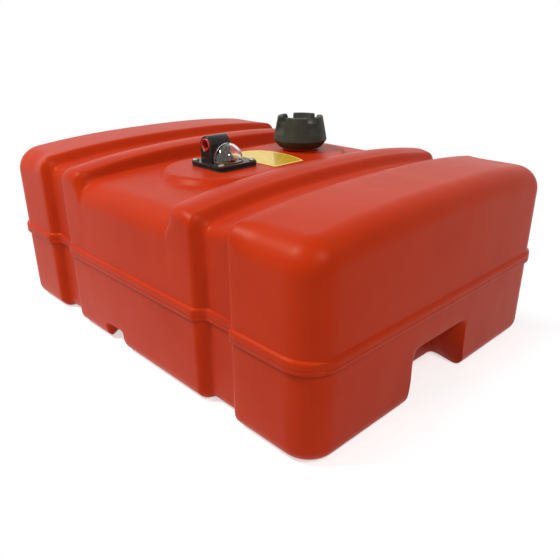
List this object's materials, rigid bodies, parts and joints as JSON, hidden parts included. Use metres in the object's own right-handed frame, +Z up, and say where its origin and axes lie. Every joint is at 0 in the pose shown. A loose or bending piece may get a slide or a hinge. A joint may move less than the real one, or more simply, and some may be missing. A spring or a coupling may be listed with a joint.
{
  "type": "fuel tank",
  "caption": "Low rectangular moulded portable fuel tank with strap grooves, hand holds, a screw filler cap and a float gauge with fuel outlet.",
  "frame": {"origin": "middle of the flat base", "axes": "X along the tank, Y across it towards the filler cap, Z up"},
  "size_m": [0.648, 0.469, 0.2853],
  "materials": {
    "shell": "satin red moulded polyethylene",
    "cap": "black moulded, slightly worn",
    "cap_insert": "plain moulded",
    "fitting": "black moulded, satin",
    "lens": "clear polished plastic",
    "rubber": "matt",
    "seal": "amber, satin",
    "steel": "bright drawn",
    "brass": "turned",
    "flag": "plain moulded",
    "foam": "closed-cell foam",
    "tube": "natural extruded",
    "strainer": "plain moulded",
    "plug": "red moulded",
    "label": "satin film"
  },
  "bodies": {
    "tank": {"tank_shell": "shell", "gauge_housing": "fitting", "gauge_gasket": "rubber", "gauge_lens": "lens", "lens_seal": "seal", "flange_screw_1": "steel", "flange_screw_2": "steel", "flange_screw_3": "steel", "flange_screw_4": "steel", "pivot_pin": "steel", "pickup_tube": "tube", "pickup_strainer": "strainer", "level_label": "label"},
    "cap_seal": {"filler_cap_gasket": "rubber"},
    "filler_cap": {"filler_cap_shell": "cap", "filler_cap_insert": "cap_insert", "vent_valve_seat": "brass", "vent_valve_spring": "steel"},
    "vent_valve": {"vent_valve_disc": "rubber"},
    "level_arm": {"level_flag": "flag", "float_arm": "steel", "float": "foam", "float_clip": "steel"},
    "travel_plug": {"outlet_plug": "plug", "outlet_plug_o_ring": "rubber"}
  },
  "joints": [
    {"name": "filler_cap_lift", "type": "slide", "parent": "tank", "child": "cap_seal", "axis": [0, 0, 1], "range_m": [0, 0.06]},
    {"name": "filler_cap_turn", "type": "hinge", "parent": "cap_seal", "child": "filler_cap", "pos_m": [-0.003, 0.087, 0.2635], "axis": [0, 0, 1], "range_deg": [0, 540]},
    {"name": "vent_valve_travel", "type": "slide", "parent": "filler_cap", "child": "vent_valve", "axis": [0, 0, -1], "range_m": [0, 0.0012], "stiffness_N_per_m": 30, "springref_m": -0.001, "deforming": ["vent_valve_spring"]},
    {"name": "level_arm_swing", "type": "hinge", "parent": "tank", "child": "level_arm", "pos_m": [0.01, -0.064, 0.226], "axis": [0, -1, 0], "range_deg": [0, 50]},
    {"name": "travel_plug_pull", "type": "slide", "parent": "tank", "child": "travel_plug", "axis": [0, -1, 0], "range_m": [0, 0.03]}
  ]
}
